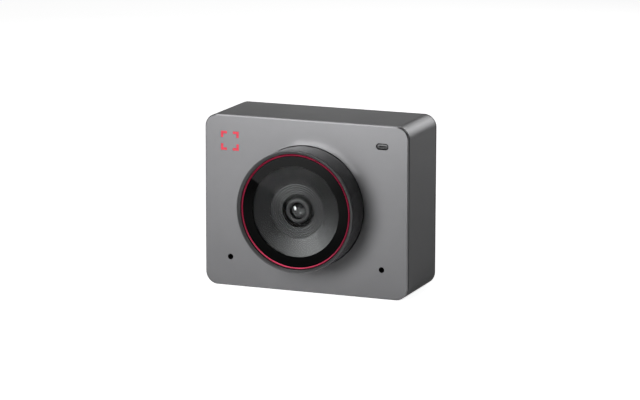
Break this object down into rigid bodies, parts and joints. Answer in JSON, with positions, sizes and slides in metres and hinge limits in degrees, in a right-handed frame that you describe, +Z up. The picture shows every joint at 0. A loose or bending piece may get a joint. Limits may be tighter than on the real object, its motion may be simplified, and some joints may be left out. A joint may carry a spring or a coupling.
{
  "type": "webcam",
  "caption": "Block-shaped webcam head with a large protruding round lens barrel, cover glass over an autofocus lens, front microphones, status light and a tripod socket.",
  "frame": {"origin": "mouth of the tripod socket, in the middle of the flat base", "axes": "+Z up, the lens looks along -Y, +X is on the right for someone who faces the lens"},
  "size_m": [0.054, 0.0284, 0.0434],
  "materials": {
    "grey_aluminium": "bead-blasted and anodised space grey",
    "dark_aluminium": "anodised dark grey, satin",
    "crimson_anodised": "anodised crimson",
    "crimson_ink": "satin red inlay",
    "clear_glass": "polished, coated",
    "lens_glass": "polished, coated",
    "black_adhesive": "black",
    "shroud_plastic": "turned look, satin",
    "black_plastic": "matt black",
    "copper": "enamelled copper wire",
    "magnet": "nickel plated",
    "spring_steel": "blackened",
    "board_green": "solder mask",
    "chip_black": "moulded",
    "connector_plastic": "moulded",
    "flex_film": "amber film",
    "plated_steel": "nickel plated",
    "black_steel": "black oxide",
    "socket_brass": "turned",
    "soft_rubber": "soft",
    "pad_silicone": "soft",
    "light_plastic": "smoked, translucent",
    "lamp_plastic": "lamp package",
    "plain_aluminium": "bare"
  },
  "bodies": {
    "camera_body": {"front_cover": "grey_aluminium", "body_sleeve": "grey_aluminium", "rear_cover": "grey_aluminium", "corner_marks": "crimson_ink", "lens_housing": "dark_aluminium", "rim_ring": "dark_aluminium", "accent_ring": "crimson_anodised", "cover_glass": "clear_glass", "glass_adhesive": "black_adhesive", "stepped_shroud": "shroud_plastic", "focus_yoke": "plated_steel", "focus_magnets": "magnet", "spring_spacer": "black_plastic", "front_leaf_spring": "spring_steel", "rear_leaf_spring": "spring_steel", "focus_base": "black_plastic", "filter_frame": "black_plastic", "ir_filter": "lens_glass", "image_sensor": "chip_black", "sensor_board": "board_green", "board_connectors": "connector_plastic", "sensor_flex": "flex_film", "main_board": "board_green", "image_processor": "chip_black", "memory_chip": "chip_black", "board_passives": "connector_plastic", "thermal_pad": "pad_silicone", "heat_sink": "plain_aluminium", "usb_shell": "plated_steel", "usb_tongue": "black_plastic", "microphone_gaskets": "soft_rubber", "microphone_boards": "board_green", "microphones": "plated_steel", "light_guide": "light_plastic", "status_led": "lamp_plastic", "led_board": "board_green", "tripod_nut": "socket_brass", "mount_bracket": "plated_steel", "bracket_screws": "plated_steel", "housing_screws": "plated_steel", "sensor_screws": "plated_steel", "main_board_screws": "plated_steel", "rear_screws": "black_steel"},
    "focus_lens": {"lens_barrel": "black_plastic", "lens_element_1": "lens_glass", "lens_element_2": "lens_glass", "lens_element_3": "lens_glass", "lens_element_4": "lens_glass", "aperture_stop": "black_plastic", "lens_spacers": "black_plastic", "lens_retainer": "black_plastic", "lens_carrier": "black_plastic", "focus_coil": "copper"}
  },
  "joints": [
    {"name": "autofocus", "type": "slide", "parent": "camera_body", "child": "focus_lens", "axis": [0, -1, 0], "range_m": [0, 0.0003], "stiffness_N_per_m": 60, "springref_m": -0.0002, "deforming": ["front_leaf_spring", "rear_leaf_spring"]}
  ]
}
